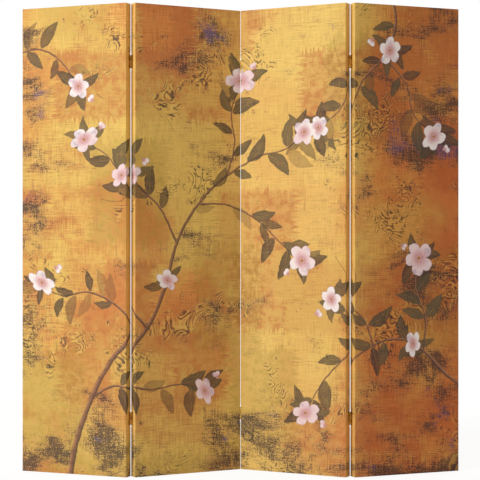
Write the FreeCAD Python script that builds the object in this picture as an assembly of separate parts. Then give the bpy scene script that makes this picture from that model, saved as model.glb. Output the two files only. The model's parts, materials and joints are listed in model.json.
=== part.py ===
import FreeCAD, Part
import os

os.makedirs("parts", exist_ok=True)

# A folding room divider of four panels, standing open in its zigzag. Each panel is a
# softwood frame with printed canvas stretched over its front and sides and a second
# canvas over its back. Slim butt hinges join the panels edge to edge. X runs to the
# right along the screen, Y from its front to its back, Z up. Lengths are millimetres.

# Panels
panel_height = 1800.0
panel_width = 450.0
panel_depth = 38.0
inner_panel_turn = 28.0  # degrees that the two middle panels stand out of line
outer_panel_turn = 22.5  # degrees that the two end panels stand out of line

# Canvas
canvas_thickness = 0.8
canvas_edge_ease = 1.5
canvas_turn_over = 34.0
back_canvas_margin = 7.0

# Frame bars, with a raised bead along the outer edge that holds the canvas off the wood
bar_face = 38.0
bar_edge_ease = 1.6
bead_width = 7.0
bead_rise = 2.5

# Mitred corners, each with a tongue on the rail and a slot in the stile
tongue_thickness = 10.0
tongue_margin = 6.0
joint_clearance = 0.2

# Two cross rails in each frame, let into the stiles with stub tenons
cross_rail_place_shares = {"lower": 1 / 3, "upper": 2 / 3}
cross_rail_face = 34.0
cross_rail_depth = 22.0
cross_rail_edge_ease = 2.0
cross_tenon_length = 18.0
cross_tenon_face = 20.0
cross_tenon_thickness = 10.0

# Butt hinges, two at each fold
hinge_height = 50.0
hinge_end_distance = 220.0
hinge_gap = 2.0
pin_stand_off = 1.0
leaf_width = 16.0
leaf_thickness = 0.8
leaf_corner_ease = 1.2
knuckle_count = 3
knuckle_radius = 1.8
knuckle_end_clearance = 0.2
notch_clearance = 0.4
pin_radius = 0.9
pin_clearance = 0.05
pin_end_rise = 0.4
screw_hole_radius = 1.7
screw_hole_pitch = 34.0
screw_hole_distance = 9.5

cut_overrun = 1.0

tray_depth = panel_depth - canvas_thickness
bar_depth = tray_depth - 2 * canvas_thickness
bar_middle = canvas_thickness + bar_depth / 2
half_gap = hinge_gap / 2
knuckle_length = hinge_height / knuckle_count

across = FreeCAD.Vector(1, 0, 0)
inward = FreeCAD.Vector(0, 1, 0)
upward = FreeCAD.Vector(0, 0, 1)


def block(x_ends, y_ends, z_ends):
    low = FreeCAD.Vector(min(x_ends), min(y_ends), min(z_ends))
    high = FreeCAD.Vector(max(x_ends), max(y_ends), max(z_ends))
    size = high - low
    return Part.makeBox(size.x, size.y, size.z, low)


def prism(corners, along):
    # A flat outline of straight runs, drawn out along a vector
    return Part.Face(Part.makePolygon(corners + corners[:1])).extrude(along)


def eased_corners(width, depth, ease):
    # A rectangle from the origin in X and Y with its corners taken off at 45 degrees
    places = (
        (ease, 0),
        (width - ease, 0),
        (width, ease),
        (width, depth - ease),
        (width - ease, depth),
        (ease, depth),
        (0, depth - ease),
        (0, ease),
    )
    return [FreeCAD.Vector(x, y, 0) for x, y in places]


def laid_level(shape, length):
    # An upright shape of this length laid along X: what was its X becomes its Z
    shape.rotate(FreeCAD.Vector(), inward, -90)
    shape.translate(across * length)
    return shape


# Frame, in the panel's own frame of reference, which starts at its front left foot
frame_start = FreeCAD.Vector(canvas_thickness, canvas_thickness, canvas_thickness)
frame_width = panel_width - 2 * canvas_thickness
frame_height = panel_height - 2 * canvas_thickness
frame_middle = FreeCAD.Vector(panel_width / 2, bar_middle, panel_height / 2)
inner_edge = canvas_thickness + bar_face
tongue_start = canvas_thickness + tongue_margin
cross_rail_heights = {
    level: canvas_thickness + share * frame_height
    for level, share in cross_rail_place_shares.items()
}


def bar(length):
    # An upright bar on the origin with its outer edge at zero in X. The bead there is the
    # full depth of the bar, and both faces slope away from it to the inner edge.
    front = [(0, bar_edge_ease), (bar_edge_ease, 0), (bead_width, 0), (bar_face, bead_rise)]
    back = [(x, bar_depth - y) for x, y in reversed(front)]
    return prism([FreeCAD.Vector(x, y, 0) for x, y in front + back], upward * length)


def mitred(shape, start, end, towards_middle):
    # The bar between two outer corners of the frame, cut at 45 degrees at both ends
    run = (end - start).normalize() * bar_face
    step = towards_middle * bar_face
    return shape.common(prism([start, end, end - run + step, start + run + step], inward * bar_depth))


def about_bar_middle(thickness):
    return (bar_middle - thickness / 2, bar_middle + thickness / 2)


def left_stile():
    shape = bar(frame_height)
    shape.translate(frame_start)
    shape = mitred(shape, frame_start, frame_start + upward * frame_height, across)
    slot_x = (tongue_start - joint_clearance, inner_edge + cut_overrun)
    slot_y = about_bar_middle(tongue_thickness + 2 * joint_clearance)
    slot_z = (tongue_start - joint_clearance, inner_edge + joint_clearance)
    top_slot_z = [panel_height - z for z in slot_z]
    cuts = [block(slot_x, slot_y, slot_z), block(slot_x, slot_y, top_slot_z)]
    mortise_x = (inner_edge - cross_tenon_length - joint_clearance, inner_edge + cut_overrun)
    mortise_y = about_bar_middle(cross_tenon_thickness + 2 * joint_clearance)
    reach = cross_tenon_face / 2 + joint_clearance
    for height in cross_rail_heights.values():
        cuts.append(block(mortise_x, mortise_y, (height - reach, height + reach)))
    return shape.cut(cuts)


def right_stile():
    shape = left_stile()
    shape.rotate(frame_middle, upward, 180)
    return shape


def bottom_rail():
    shape = laid_level(bar(frame_width), frame_width)
    shape.translate(frame_start)
    shape = mitred(shape, frame_start, frame_start + across * frame_width, upward)
    ends = (tongue_start, inner_edge)
    far_ends = [panel_width - x for x in ends]
    tongue_y = about_bar_middle(tongue_thickness)
    tongues = [block(ends, tongue_y, ends), block(far_ends, tongue_y, ends)]
    return shape.fuse(tongues).removeSplitter()


def top_rail():
    shape = bottom_rail()
    shape.rotate(frame_middle, inward, 180)
    return shape


def cross_rail(height):
    length = panel_width - 2 * inner_edge
    outline = eased_corners(cross_rail_face, cross_rail_depth, cross_rail_edge_ease)
    shape = laid_level(prism(outline, upward * length), length)
    low = height - cross_rail_face / 2
    shape.translate(FreeCAD.Vector(inner_edge, bar_middle - cross_rail_depth / 2, low))
    tenon = block(
        (inner_edge - cross_tenon_length, panel_width - inner_edge + cross_tenon_length),
        about_bar_middle(cross_tenon_thickness),
        (height - cross_tenon_face / 2, height + cross_tenon_face / 2),
    )
    return shape.fuse(tenon).removeSplitter()


# Canvas, in the panel's own frame of reference
def tray_block(width, depth, height, ease):
    # A block with its front and back edges eased and its four depthwise edges left sharp
    upright = prism(eased_corners(width, depth, ease), upward * height)
    level = laid_level(prism(eased_corners(height, depth, ease), upward * width), width)
    return upright.common(level)


def front_canvas():
    # A shallow tray of cloth: the face, the four sides and the strip turned onto the back.
    # Its inner edges are eased less than its outer ones, which keeps it as thick all round,
    # and less than the edges of the bars, which keeps them clear of it.
    outer = tray_block(panel_width, tray_depth, panel_height, canvas_edge_ease)
    inner_ease = canvas_edge_ease - canvas_thickness * (2 - 2**0.5)
    inner = tray_block(frame_width, bar_depth, frame_height, inner_ease)
    inner.translate(frame_start)
    window = block(
        (canvas_turn_over, panel_width - canvas_turn_over),
        (tray_depth - canvas_thickness - cut_overrun, tray_depth + cut_overrun),
        (canvas_turn_over, panel_height - canvas_turn_over),
    )
    return outer.cut([inner, window])


def back_canvas():
    return block(
        (back_canvas_margin, panel_width - back_canvas_margin),
        (tray_depth, panel_depth),
        (back_canvas_margin, panel_height - back_canvas_margin),
    )


# Hinges, drawn round the pin's axis with the middle of the hinge at zero in Z. side is 1
# where the leaf's panel lies to the right of the pin and -1 where it lies to the left.
# inside is 1 where the panel's depth runs backwards from the pin and -1 where it runs
# forwards.
hinge_heights = {"lower": hinge_end_distance, "upper": panel_height - hinge_end_distance}


def leaf_plate(side, inside):
    # Flat against the panel's side, with the two corners of its free edge eased
    half = hinge_height / 2
    places = (
        (0, -half),
        (leaf_width - leaf_corner_ease, -half),
        (leaf_width, leaf_corner_ease - half),
        (leaf_width, half - leaf_corner_ease),
        (leaf_width - leaf_corner_ease, half),
        (0, half),
    )
    corners = [FreeCAD.Vector(side * half_gap, inside * y, z) for y, z in places]
    return prism(corners, across * (-side * leaf_thickness))


def hinge_leaf(side, inside, own_knuckles):
    # The leaf rolls up into its own knuckles and is notched clear of the other leaf's
    knuckles, cuts = [], []
    for number in range(knuckle_count):
        low = number * knuckle_length - hinge_height / 2
        high = low + knuckle_length
        trim_low = knuckle_end_clearance / 2 if number > 0 else 0
        trim_high = knuckle_end_clearance / 2 if number < knuckle_count - 1 else 0
        if number in own_knuckles:
            length = high - low - trim_low - trim_high
            knuckles.append(Part.makeCylinder(knuckle_radius, length, upward * (low + trim_low)))
        else:
            notch_x = (0, side * (half_gap + cut_overrun))
            notch_y = (-inside * cut_overrun, inside * (knuckle_radius + notch_clearance))
            cuts.append(block(notch_x, notch_y, (low - trim_low, high + trim_high)))
    shape = leaf_plate(side, inside).cut(cuts).fuse(knuckles).removeSplitter()
    bore_start = upward * (-hinge_height / 2 - cut_overrun)
    holes = [Part.makeCylinder(pin_radius + pin_clearance, hinge_height + 2 * cut_overrun, bore_start)]
    for height in (-screw_hole_pitch / 2, screw_hole_pitch / 2):
        start = FreeCAD.Vector(side * half_gap, inside * screw_hole_distance, height)
        holes.append(Part.makeCylinder(screw_hole_radius, leaf_thickness, start, across * -side))
    return shape.cut(holes)


def hinge_pin():
    # Its ends stand a little proud of the knuckles, as when they are peened over
    half = hinge_height / 2 + pin_end_rise
    return Part.makeCylinder(pin_radius, 2 * half, upward * -half)


# The folds from left to right: the panels to the left and right of each, and which way
# their depth runs from the pin. The pins stand behind the backs at the outer folds and in
# front of the faces at the middle one. The leaf with the end knuckles holds the pin.
folds = {
    1: {"left": 1, "right": 2, "inside": -1, "pin_on": "right"},
    2: {"left": 2, "right": 3, "inside": 1, "pin_on": "left"},
    3: {"left": 3, "right": 4, "inside": -1, "pin_on": "left"},
}
sides = {"left": -1, "right": 1}
end_knuckles = range(0, knuckle_count, 2)
middle_knuckles = range(1, knuckle_count, 2)


def pin_place(side, inside):
    # The pin's axis in the panel's own frame of reference
    x = -half_gap if side > 0 else panel_width + half_gap
    y = -pin_stand_off if inside > 0 else panel_depth + pin_stand_off
    return FreeCAD.Vector(x, y, 0)


def standing(turn, own_axis, axis):
    # The place of a panel that is turned this far and has its own axis on this one
    rotation = FreeCAD.Rotation(upward, turn)
    return FreeCAD.Placement(axis - rotation.multVec(own_axis), rotation)


def lay_out(middle_axis):
    places = {
        2: standing(inner_panel_turn, pin_place(-1, 1), middle_axis),
        3: standing(-inner_panel_turn, pin_place(1, 1), middle_axis),
    }
    left_axis = places[2].multVec(pin_place(1, -1))
    right_axis = places[3].multVec(pin_place(-1, -1))
    places[1] = standing(-outer_panel_turn, pin_place(-1, -1), left_axis)
    places[4] = standing(outer_panel_turn, pin_place(1, -1), right_axis)
    return places, {1: left_axis, 2: middle_axis, 3: right_axis}


# The screen's depth is centred on the origin, between the corners of its front canvases
places, axes = lay_out(FreeCAD.Vector())
reach = [
    place.multVec(corner).y
    for place in places.values()
    for corner in eased_corners(panel_width, tray_depth, canvas_edge_ease)
]
places, axes = lay_out(inward * (-(min(reach) + max(reach)) / 2))


def stood(shape, place, shift=FreeCAD.Vector()):
    # Moved within the panel's own frame of reference, then to where the panel stands
    shape.translate(shift)
    shape.Placement = place.multiply(shape.Placement)
    return shape


nodes = {}
for number, place in places.items():
    pieces = {
        "front_canvas": front_canvas(),
        "back_canvas": back_canvas(),
        "left_stile": left_stile(),
        "right_stile": right_stile(),
        "bottom_rail": bottom_rail(),
        "top_rail": top_rail(),
    }
    for level, height in cross_rail_heights.items():
        pieces[f"{level}_cross_rail"] = cross_rail(height)
    for name, shape in pieces.items():
        nodes[f"panel_{number}_{name}"] = stood(shape, place)

for number, fold in folds.items():
    for level, height in hinge_heights.items():
        hinge = f"fold_{number}_{level}_hinge"
        for side, sign in sides.items():
            place = places[fold[side]]
            shift = pin_place(sign, fold["inside"]) + upward * height
            if side == fold["pin_on"]:
                leaf = hinge_leaf(sign, fold["inside"], end_knuckles)
                nodes[f"{hinge}_pin"] = stood(hinge_pin(), place, shift)
            else:
                leaf = hinge_leaf(sign, fold["inside"], middle_knuckles)
            nodes[f"{hinge}_{side}_leaf"] = stood(leaf, place, shift)

for name, shape in nodes.items():
    shape.exportStep(f"parts/{name}.step")

for number, axis in axes.items():
    print(f"fold {number} pin axis at {axis.x:.4f}, {axis.y:.4f}")
print(f"{len(nodes)} nodes, {sum(len(shape.Solids) for shape in nodes.values())} solids")
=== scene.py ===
import json
import math
import random

import bpy
import numpy as np
from mathutils import Matrix, Vector


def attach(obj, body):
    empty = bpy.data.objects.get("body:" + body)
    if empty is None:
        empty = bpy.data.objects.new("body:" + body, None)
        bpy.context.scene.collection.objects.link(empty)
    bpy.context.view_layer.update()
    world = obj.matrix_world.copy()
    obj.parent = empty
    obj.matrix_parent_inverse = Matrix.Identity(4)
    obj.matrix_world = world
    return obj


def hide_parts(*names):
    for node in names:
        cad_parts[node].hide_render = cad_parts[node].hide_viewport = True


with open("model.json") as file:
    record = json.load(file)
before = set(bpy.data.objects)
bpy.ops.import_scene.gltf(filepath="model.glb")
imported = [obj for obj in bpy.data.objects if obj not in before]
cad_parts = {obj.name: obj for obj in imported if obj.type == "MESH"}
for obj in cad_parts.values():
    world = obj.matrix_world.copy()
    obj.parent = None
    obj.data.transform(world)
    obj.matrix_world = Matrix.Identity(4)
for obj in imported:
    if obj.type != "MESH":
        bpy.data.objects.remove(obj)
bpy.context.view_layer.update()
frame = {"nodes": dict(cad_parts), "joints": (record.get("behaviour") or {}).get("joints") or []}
print("frame loaded:", len(frame["nodes"]), "nodes")

# The screen: four panels of one size, each with its own frame of reference that starts at
# its front left foot, X along the panel, Y into its depth and Z up. Metres and degrees.
screen = {
    "width": 0.450,
    "height": 1.800,
    "depth": 0.038,
    "trayDepth": 0.0372,  # the front canvas alone, without the back canvas
    "halfGap": 0.0010,
    "pinStandOff": 0.0010,
    "turns": {1: -22.5, 2: 28.0, 3: -28.0, 4: 22.5},
    "stands": {1: 1, 2: 2, 3: 2, 4: 3},  # the fold that each panel is placed by
}
folds = {
    1: {"left": 1, "right": 2, "edge": "back"},
    2: {"left": 2, "right": 3, "edge": "front"},
    3: {"left": 3, "right": 4, "edge": "back"},
}
hinge = {
    "ends": 0.220,  # from the ends of the panel to the middle of the hinge
    "height": 0.050,
    "screwPitch": 0.034,
    "screwRow": 0.0095,  # from the pin to the row of screws
    "leafThickness": 0.0008,
}
panelWidth, panelHeight, panelDepth = screen["width"], screen["height"], screen["depth"]
hingeHeights = (hinge["ends"], panelHeight - hinge["ends"])


def ownPin(side, edge):
    x = -screen["halfGap"] if side == "left" else panelWidth + screen["halfGap"]
    y = -screen["pinStandOff"] if edge == "front" else panelDepth + screen["pinStandOff"]
    return Vector((x, y, 0))


def panelPlace(number):
    fold = screen["stands"][number]
    side = "right" if folds[fold]["left"] == number else "left"
    joint = next(j for j in frame["joints"] if j["name"] == f"fold_{fold}")
    turn = Matrix.Rotation(math.radians(screen["turns"][number]), 4, "Z")
    axis = Vector((*joint["pos_m"][:2], 0))
    return Matrix.Translation(axis - turn @ ownPin(side, folds[fold]["edge"])) @ turn


def putInScene(name, data):
    made = bpy.data.objects.new(name, data)
    bpy.context.scene.collection.objects.link(made)
    return made


places = {number: panelPlace(number) for number in screen["turns"]}

# the camera looks level from the middle of the screen's height
view = {"distance": 5.940, "height": 0.9, "lens": 115.15, "sensor": 36.0, "shift": -0.0011}
camera = putInScene("camera", bpy.data.cameras.new("camera"))
camera.data.lens = view["lens"]
camera.data.sensor_width = view["sensor"]
camera.data.shift_x = view["shift"]
camera.location = (0, -view["distance"], view["height"])
camera.rotation_euler = (math.radians(90), 0, 0)
bpy.context.scene.camera = camera


# Node helpers. A signal is one output of a node. A node made from a signal takes it as its
# first input, and sums with signals make nodes of their own.
def colour(code):
    shares = [int(code[i:i + 2], 16) / 255 for i in (1, 3, 5)]
    return tuple(c / 12.92 if c <= 0.04045 else ((c + 0.055) / 1.055) ** 2.4 for c in shares) + (1.0,)


def feed(node, inputs):
    # a signal is linked, a colour code is made linear and any other value is written as it is
    for name, value in inputs.items():
        if isinstance(value, Signal):
            node.id_data.links.new(value.socket, node.inputs[name])
        elif isinstance(value, str) and value.startswith("#"):
            node.inputs[name].default_value = colour(value)
        else:
            node.inputs[name].default_value = value


def addNode(tree, kind, inputs=None, output=0, **settings):
    made = tree.nodes.new(kind)
    for name, value in settings.items():
        setattr(made, name, value)
    feed(made, inputs or {})
    return Signal(made.outputs[output])


class Signal:
    def __init__(self, socket):
        self.socket, self.tree = socket, socket.id_data

    def node(self, kind, inputs=None, output=0, **settings):
        return addNode(self.tree, kind, {0: self, **(inputs or {})}, output, **settings)

    def other(self, name):
        # another output of the same node
        return Signal(self.socket.node.outputs[name])

    def math(self, operation, *others):
        return self.node("ShaderNodeMath", dict(enumerate(others, 1)), operation=operation)

    def __add__(self, other):
        return self.math("ADD", other)

    def __sub__(self, other):
        return self.math("SUBTRACT", other)

    def __mul__(self, other):
        return self.math("MULTIPLY", other)

    def __truediv__(self, other):
        return self.math("DIVIDE", other)

    def __abs__(self):
        return self.math("ABSOLUTE")

    def larger(self, other):
        return self.math("MAXIMUM", other)

    def parts(self):
        split = self.node("ShaderNodeSeparateXYZ")
        return [split.other(axis) for axis in "XYZ"]

    def ramp(self, low, high, start=0.0, end=1.0):
        limits = {"From Min": low, "From Max": high, "To Min": start, "To Max": end}
        return self.node("ShaderNodeMapRange", limits, interpolation_type="SMOOTHSTEP")

    def stretched(self, scale=(1, 1, 1), shift=(0, 0, 0), turn=0.0):
        inputs = {"Location": shift, "Rotation": (0, 0, math.radians(turn)), "Scale": scale}
        return self.node("ShaderNodeMapping", inputs)

    def cloud(self, scale, detail=3.0, roughness=0.55, distortion=0.0):
        inputs = {"Scale": scale, "Detail": detail, "Roughness": roughness, "Distortion": distortion}
        return self.node("ShaderNodeTexNoise", inputs)


def attribute(tree, name, output="Fac"):
    return addNode(tree, "ShaderNodeAttribute", None, output, attribute_name=name, attribute_type="GEOMETRY")


def joined(*parts):
    # the last part is a signal
    return addNode(parts[-1].tree, "ShaderNodeCombineXYZ", dict(enumerate(parts)))


def tint(factor, under, over, blend="MIX"):
    return factor.node("ShaderNodeMix", {6: under, 7: over}, 2, data_type="RGBA", blend_type=blend)


def layered(base, paints, *coats):
    # a coat is how strongly it covers what is under it, and the name of its paint
    for factor, paint in coats:
        base = tint(factor, base, paints[paint])
    return base


def newMaterial(name):
    material = bpy.data.materials.new(name)
    material.use_nodes = True
    return material, material.node_tree


def wireShader(tree, base, roughness, height, strength, distance, fixed=None):
    bump = addNode(tree, "ShaderNodeBump", {"Height": height, "Strength": strength, "Distance": distance})
    feed(tree.nodes["Principled BSDF"],
         {"Base Color": base, "Roughness": roughness, "Normal": bump, **(fixed or {})})


# The painted ground of the print is aged gold: soft clouds of straw, gold and amber, square
# patches with dry-brushed edges, a rustier right side, brown brushing, dark grain in
# clusters, raised curls and hairlines.
ground = {
    "light": "#F3CE74",
    "straw": "#E8C266",
    "gold": "#DFA857",
    "amber": "#DE8F4A",
    "ochre": "#AA8B38",
    "rust": "#C4703C",
    "brown": "#7C4C2E",
    "haze": "#A8745A",
    "charcoal": "#38322F",
    "violet": "#4C4A78",
    # width and height of a patch, where its rows start, how rare it is, its strength, its paint
    "patches": [
        (0.34, 0.27, (0.3, 0.62, 0), 0.62, 0.85, "rust"),
        (0.23, 0.19, (5.1, 0.18, 0), 0.66, 0.80, "straw"),
        (0.29, 0.40, (2.7, 3.45, 0), 0.68, 0.60, "ochre"),
    ],
    "raggedness": 0.7,  # how far the brush drags the edge of a patch, in patches
    # how much paler the wrapped sides are painted, as painted light
    "sidePaintedLight": 0.52,
    "threadPitch": 0.0011,
}


def brushedPatches(at, width, height, shift, level, upright):
    # a chance number for each patch, whose edges are dragged out by the brush
    x, y, _ = at.stretched((1 / width, 1 / height, 1), shift).parts()
    row = (upright * ground["raggedness"] + y).math("FLOOR")
    slide = addNode(row.tree, "ShaderNodeTexWhiteNoise", {"W": row}, noise_dimensions="1D")
    along = (level * ground["raggedness"] + (x + slide)).math("FLOOR")
    return joined(along, row).node("ShaderNodeTexWhiteNoise", noise_dimensions="2D")


def paintGround(spot, at):
    # spot is the place on the whole print, at the place in the clouds that colour it
    across, up, _ = spot.parts()
    # cross brushing, fine along the two threads of the cloth
    level = at.stretched((11, 300, 1)).cloud(1.0, 4.0, 0.7)
    upright = at.stretched((300, 11, 1), (4, 9, 0)).cloud(1.0, 4.0, 0.7)
    crossed = level * 0.5 + upright * 0.5
    mottle = at.stretched(shift=(6.4, 2.9, 0)).cloud(30.0, 5.0, 0.65, 0.4)
    # wide clouds
    warm = mottle * 0.16 + at.stretched(shift=(3.1, 1.7, 0)).cloud(1.9, 5.0, 0.55, 0.4)
    base = tint(warm.ramp(0.46, 0.70), ground["straw"], ground["gold"])
    base = layered(base, ground, (warm.ramp(0.53, 0.73), "amber"),
                   (abs(across - 1.10).ramp(0.32, 0.16, 0.0, 0.66), "light"))
    # square patches, each laid on thin enough for the brushing to show through
    thin = (mottle * 0.5 + crossed).ramp(0.88, 0.62)
    drawnLevel = at.stretched((5, 90, 1), (1, 3, 0)).cloud(1.0, 5.0, 0.75)
    drawnUp = at.stretched((90, 5, 1), (8, 2, 0)).cloud(1.0, 5.0, 0.75)
    for width, height, shift, rare, strength, paint in ground["patches"]:
        patch = brushedPatches(at, width, height, shift, drawnLevel, drawnUp)
        base = tint(patch.ramp(rare, rare + 0.08) * (thin * strength), base, ground[paint])
    # rust that comes through in places, more of it to the right
    right = across.ramp(1.28, 1.50)
    rust = at.stretched((1.0, 1.25, 1), (1.3, 9.4, 0)).cloud(2.3, 6.0, 0.62, 0.2)
    rust = rust + (right * 0.14 + crossed * 0.5)
    # brown drags of a nearly dry brush, level and upright
    lying = at.stretched((3.0, 30, 1), (0, 4.4, 0)).cloud(1.0, 4.0, 0.6)
    standing = at.stretched((26, 2.6, 1), (7.2, 1.1, 0)).cloud(1.0, 4.0, 0.6)
    base = layered(base, ground, (rust.ramp(0.76, 0.98, 0.0, 0.75), "rust"),
                   (lying.ramp(0.52, 0.68) * level.ramp(0.50, 0.64) * 0.42, "brown"),
                   (standing.ramp(0.55, 0.70) * upright.ramp(0.50, 0.64) * 0.36, "brown"))
    base = tint(crossed.ramp(0.38, 0.62, 0.0, 0.24), base, ground["brown"], "MULTIPLY")
    # painted light: the wrapped sides of the panels are painted paler, standing in for the light they catch
    paintedSideLight = attribute(at.tree, "wrapped") * ground["sidePaintedLight"]
    base = layered(base, ground, (mottle.ramp(0.52, 0.74, 0.0, 0.26), "haze"), (paintedSideLight, "light"))
    low, left = up.ramp(0.0, 0.36, 0.11, 0.0), across.ramp(0.0, 0.16, 0.09, 0.0)
    base = paintGrain(at, base, crossed, mottle, right * 0.055 + (low + left))
    base, ridge, furrow = paintCurls(at, base, crossed, mottle, right)
    base = tint(right * 0.43, base, ground["amber"], "MULTIPLY")
    return base, crossed, ridge * 1.2 + crossed * 0.5 - furrow * 0.8


def paintGrain(at, base, crossed, mottle, more):
    # dark grain that gathers in clusters and follows the threads, with more of it in places
    grain = crossed * 0.55 + at.cloud(185.0, 3.0, 0.75) * 0.6
    cluster = at.stretched((1.0, 1.5, 1), (5.9, 2.2, 0)).cloud(3.1, 6.0, 0.66, 0.4) + more
    gathered = cluster.ramp(0.53, 0.72)
    speckle = (gathered * 0.16 + grain).ramp(0.650, 0.705) * cluster.ramp(0.51, 0.59)
    blue = at.stretched(shift=(2.2, 8.8, 0)).cloud(5.0, 3.0, 0.6)
    dark = tint(blue.ramp(0.58, 0.66), ground["charcoal"], ground["violet"])
    base = tint(gathered * 0.40, base, ground["haze"])
    base = tint(speckle * 0.84, base, dark)
    # stray specks everywhere
    return tint((mottle * 0.35 + grain).ramp(0.86, 0.92) * 0.7, base, ground["brown"])


def paintCurls(at, base, crossed, mottle, right):
    # raised curls: level lines of a wandering cloud, dark on one side and light on the other
    curl = at.stretched(shift=(1.9, 4.7, 0)).cloud(6.5, 2.0, 0.45, 2.4)
    curl = (mottle * 0.5 + curl * 11.0).math("FRACT")
    crazed = (mottle - 0.5) * 0.35 + at.stretched(shift=(9.1, 3.3, 0)).cloud(3.0, 4.0, 0.6, 0.3)
    crazed = (right * 0.03 + crazed).ramp(0.565, 0.635)
    furrow = curl.ramp(0.40, 0.20) * curl.ramp(0.0, 0.05) * crazed * crossed.ramp(0.34, 0.50)
    ridge = curl.ramp(0.50, 0.66) * curl.ramp(0.96, 0.80) * crazed
    # hairlines along the level lines of a wide cloud
    drift = at.stretched(shift=(4.6, 6.1, 0)).cloud(1.6, 2.0, 0.5, 1.2)
    hair = abs(drift - 0.5).ramp(0.0022, 0.0006) * at.cloud(7.0, 3.0, 0.6).ramp(0.54, 0.60)
    base = layered(base, ground, (furrow * 0.86, "charcoal"), (ridge * 0.46, "straw"), (hair * 0.6, "brown"))
    return base, ridge, furrow


# the motifs of the print are slim twigs with leaves and five-petalled blossoms
inks = {
    "leafDark": "#3A2C27",
    "leafOlive": "#5C5238",
    "leafWarm": "#75502F",
    "leafMauve": "#67504D",
    "leafRib": "#8E7650",
    "twig": "#8A5C4A",
    "twigDark": "#4E3830",
    "twigLight": "#B58660",
    "petal": "#F5EBE8",
    "petalBlush": "#E6B4BC",
    "petalShade": "#A98FA8",
    "petalRose": "#D9A6AA",
    "petalLine": "#8E5A60",
    "stamen": "#A9772E",
    "guard": 4.0,  # how far from a twig its offset is trusted, in mm
}


def coverage(distance, ragged, soft, spread):
    return (ragged * spread + distance).ramp(soft, -soft)


def paintTwigs(base, ragged, mottle, worn):
    # twigs are dark on their lower side
    outside, offset, halfWidth = attribute(ragged.tree, "twigInk", "Vector").parts()
    across = ragged * 1.1 + offset / halfWidth.larger(0.5)
    bark = tint(across.ramp(-0.75, 0.25), inks["twigDark"], inks["twig"])
    bark = layered(bark, inks, (across.ramp(0.15, 0.8, 0.0, 0.7), "twigLight"),
                   (mottle.ramp(0.5, 0.62, 0.0, 0.5), "twigDark"))
    # the offset from the middle line stays exact between the places that hold it
    edge = (abs(offset) - halfWidth).larger(outside - inks["guard"])
    return tint(coverage(edge, ragged, 0.5, 2.4) * worn * 0.88, base, bark)


def paintLeaves(base, ragged, mottle, worn, crossed):
    # leaves have one half lighter than the other, a rib and slanting veins
    outside, aside, along = attribute(ragged.tree, "leafInk", "Vector").parts()
    shade = attribute(ragged.tree, "leafShade")
    drawn = joined(aside * 0.45, along).cloud(1.3, 4.0, 0.65)
    slant = (abs(aside) * -0.075 + along * 8.0).math("FRACT")
    flesh = tint(shade.ramp(0.45, 0.95), inks["leafDark"], inks["leafOlive"])
    flesh = layered(
        flesh, inks,
        (shade.ramp(0.30, 0.22), "leafWarm"),
        ((ragged * 5.0 + aside).ramp(-1.5, 1.5) * 0.35, "leafOlive"),
        (drawn.ramp(0.50, 0.66, 0.0, 0.55), "leafMauve"),
        (drawn.ramp(0.46, 0.34, 0.0, 0.60), "leafDark"),
        (mottle.ramp(0.45, 0.68, 0.0, 0.40), "leafWarm"),
        ((mottle * 0.8 + along).ramp(0.55, 0.15, 0.0, 0.7), "leafMauve"),
        (abs(slant - 0.5).ramp(0.10, 0.02) * 0.35, "leafDark"),
        ((ragged * 0.8 + abs(aside)).ramp(1.1, 0.4) * 0.6, "leafRib"),
    )
    # some are nearly worn away
    mask = coverage((mottle - 0.5) * 13.0 + outside, ragged, 0.7, 3.6) * worn
    mask = mask * (crossed * 0.6 + drawn).ramp(0.98, 0.74, 0.62, 1.0) * shade.ramp(0.20, 0.52, 0.45, 0.94)
    return tint(mask, base, flesh)


def paintBlossoms(base, ragged, at, crossed):
    # blossoms have pale petals with rosy hearts, fine streaks and a thin outline
    outside, aside, along = attribute(at.tree, "petalInk", "Vector").parts()
    streak = joined(aside * 0.55, along).cloud(1.0, 3.0, 0.6)
    # some are pinker than others, and each has violet shade on part of it
    blush = at.stretched(shift=(0.4, 7.7, 0)).cloud(3.0, 0.0)
    shadow = at.stretched(shift=(6.9, 0.8, 0)).cloud(17.0, 4.0, 0.6)
    dots = at.cloud(330.0, 1.0, 0.5).ramp(0.56, 0.62) * along.ramp(0.34, 0.24)
    core = (ragged * 0.08 + along).ramp(0.11, 0.07)
    bloom = layered(
        inks["petal"], inks,
        (blush.ramp(0.48, 0.62, 0.0, 0.45), "petalBlush"),
        (shadow.ramp(0.50, 0.66, 0.0, 0.55), "petalShade"),
        ((streak * -0.5 + along).ramp(0.45, -0.05), "petalRose"),
        (streak.ramp(0.56, 0.70, 0.0, 0.45), "petalRose"),
        ((ragged * 1.6 + outside).ramp(-2.2, -0.4) * 0.55, "petalLine"),
        (dots.larger(core), "stamen"),
    )
    mask = coverage(outside, ragged, 0.5, 1.6) * crossed.ramp(0.58, 0.68, 1.0, 0.7)
    return tint(mask * 0.96, base, bloom)


def paintMotifs(at, base, crossed):
    ragged = at.cloud(210.0, 3.0, 0.65) - 0.5
    mottle = at.cloud(38.0, 4.0, 0.6)
    worn = crossed.ramp(0.56, 0.66, 1.0, 0.55)
    base = paintTwigs(base, ragged, mottle, worn)
    base = paintLeaves(base, ragged, mottle, worn, crossed)
    return paintBlossoms(base, ragged, at, crossed)


def canvasMaterial(name, motifs, shift):
    material, tree = newMaterial(name)
    spot = addNode(tree, "ShaderNodeUVMap", uv_map="print")
    at = spot.stretched(shift=shift)
    base, crossed, relief = paintGround(spot, at)
    if motifs:
        base = paintMotifs(at, base, crossed)
    # plain weave: warp and weft go over each other by turns
    warp, weft = ((part * (math.pi / ground["threadPitch"])).math("SINE") for part in at.parts()[:2])
    height = warp * weft * 0.12 + relief
    roughness = crossed.ramp(0.3, 0.7, 0.58, 0.78)
    wireShader(tree, base, roughness, height, 0.35, 0.0006, {"Specular IOR Level": 0.28})
    return material


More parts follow.
